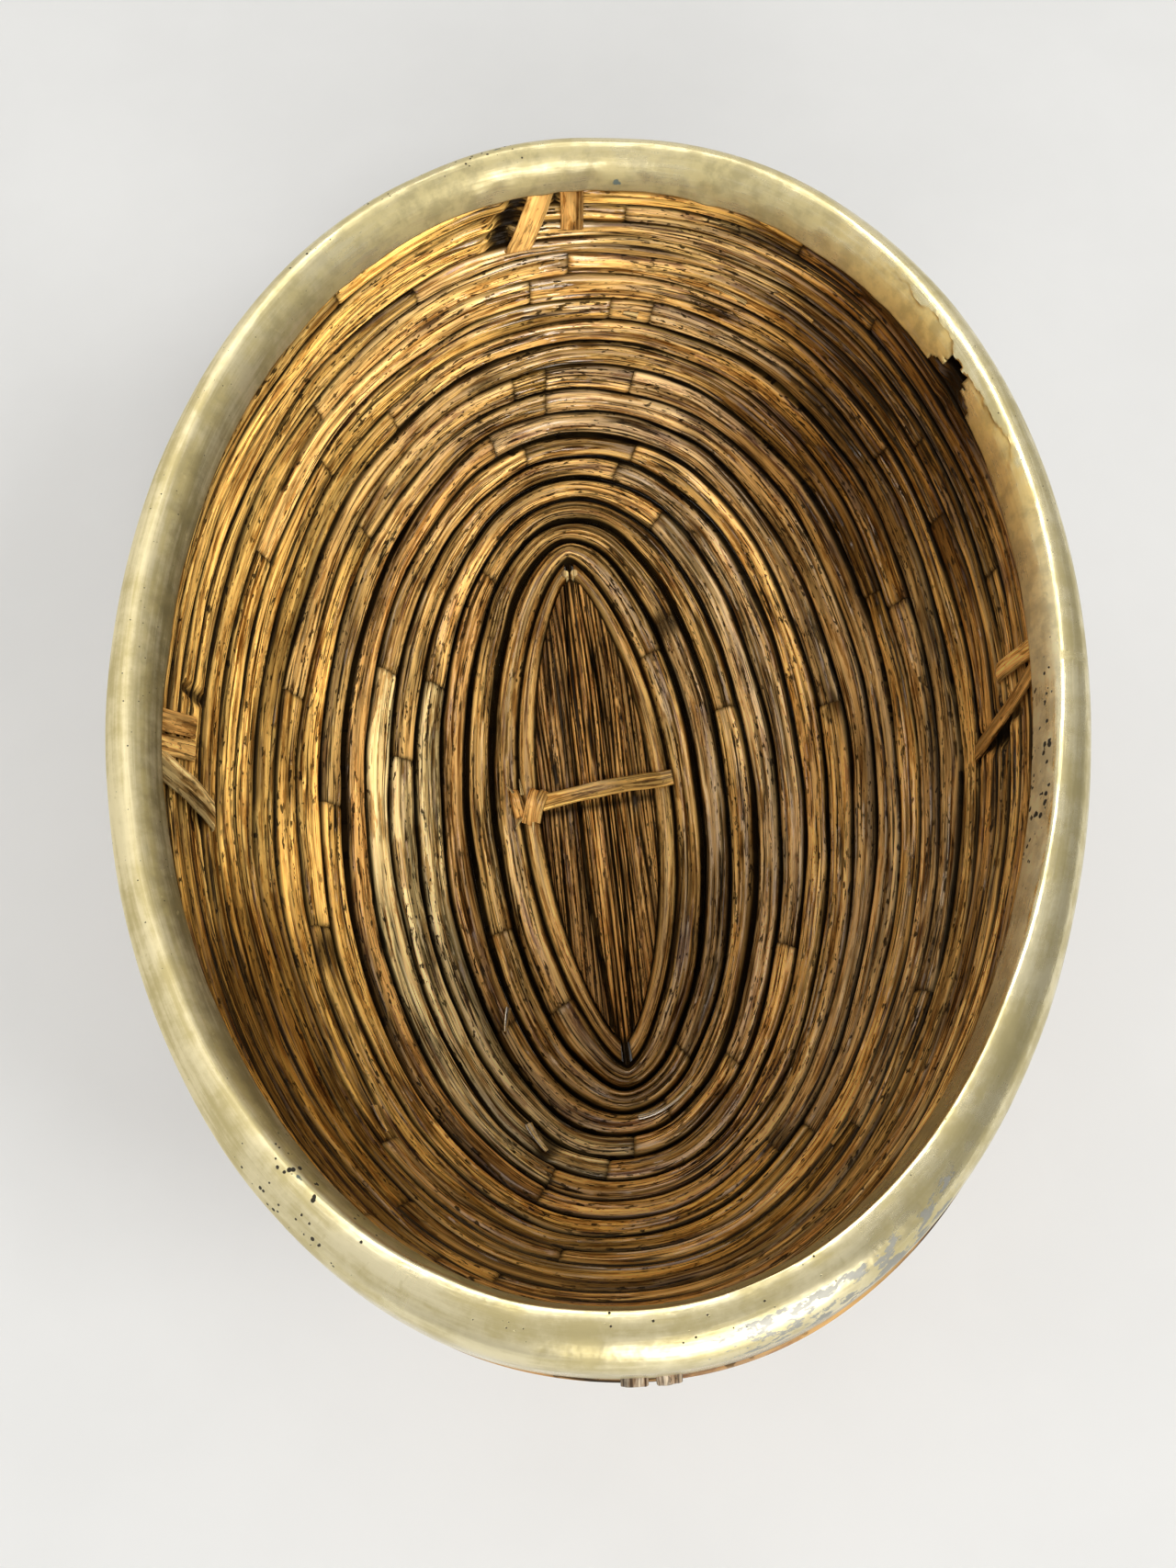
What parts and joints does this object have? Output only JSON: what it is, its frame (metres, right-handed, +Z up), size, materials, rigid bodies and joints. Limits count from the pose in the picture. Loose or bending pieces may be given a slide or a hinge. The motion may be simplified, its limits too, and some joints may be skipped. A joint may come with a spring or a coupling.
{
  "type": "rush basket",
  "caption": "Deep oval open basket of coiled flattened rush cane with a pointed splint centre, cane lashings and a folded brass rim, for holding bread, fruit or small goods.",
  "frame": {"origin": "centre of the outline, on the surface that the basket stands on", "axes": "+Z up, Y along the oval mouth's long axis, X across it"},
  "size_m": [0.2778, 0.373, 0.147],
  "materials": {
    "dark_splint": "satin, open straight grain",
    "red_splint": "satin, open straight grain",
    "grey_splint": "satin, open straight grain",
    "pale_reed": "varnished, fine fibre",
    "golden_cane": "varnished, fine fibre with dark specks",
    "brown_cane": "varnished, fine fibre with dark specks",
    "lashing_cane": "satin split cane",
    "brass": "pale worn brass, hand-dressed, pitted in places"
  },
  "bodies": {
    "root": {"centre_splint_left": "dark_splint", "centre_splint_middle": "red_splint", "centre_splint_right": "grey_splint", "centre_reed_left": "pale_reed", "centre_reed_right": "pale_reed", "centre_tie": "lashing_cane", "centre_tie_knot": "lashing_cane", "rush_course_01": "golden_cane", "rush_course_02": "brown_cane", "rush_course_03": "golden_cane", "rush_course_04": "brown_cane", "rush_course_05": "golden_cane", "rush_course_06": "brown_cane", "rush_course_07": "golden_cane", "rush_course_08": "brown_cane", "rush_course_09": "golden_cane", "rush_course_10": "brown_cane", "rush_course_11": "golden_cane", "rush_course_12": "brown_cane", "rush_course_13": "golden_cane", "rush_course_14": "brown_cane", "rush_course_15": "golden_cane", "rush_course_16": "brown_cane", "rush_course_17": "golden_cane", "rush_course_18": "brown_cane", "rush_course_19": "golden_cane", "rim_hoop": "brown_cane", "outer_rim_cane": "brown_cane", "brass_rim": "brass", "far_lashing_straight": "lashing_cane", "far_lashing_slanted": "lashing_cane", "left_lashing_straight": "lashing_cane", "left_lashing_slanted": "lashing_cane", "near_lashing_straight": "lashing_cane", "near_lashing_slanted": "lashing_cane", "right_lashing_straight": "lashing_cane", "right_lashing_slanted": "lashing_cane"}
  },
  "joints": []
}
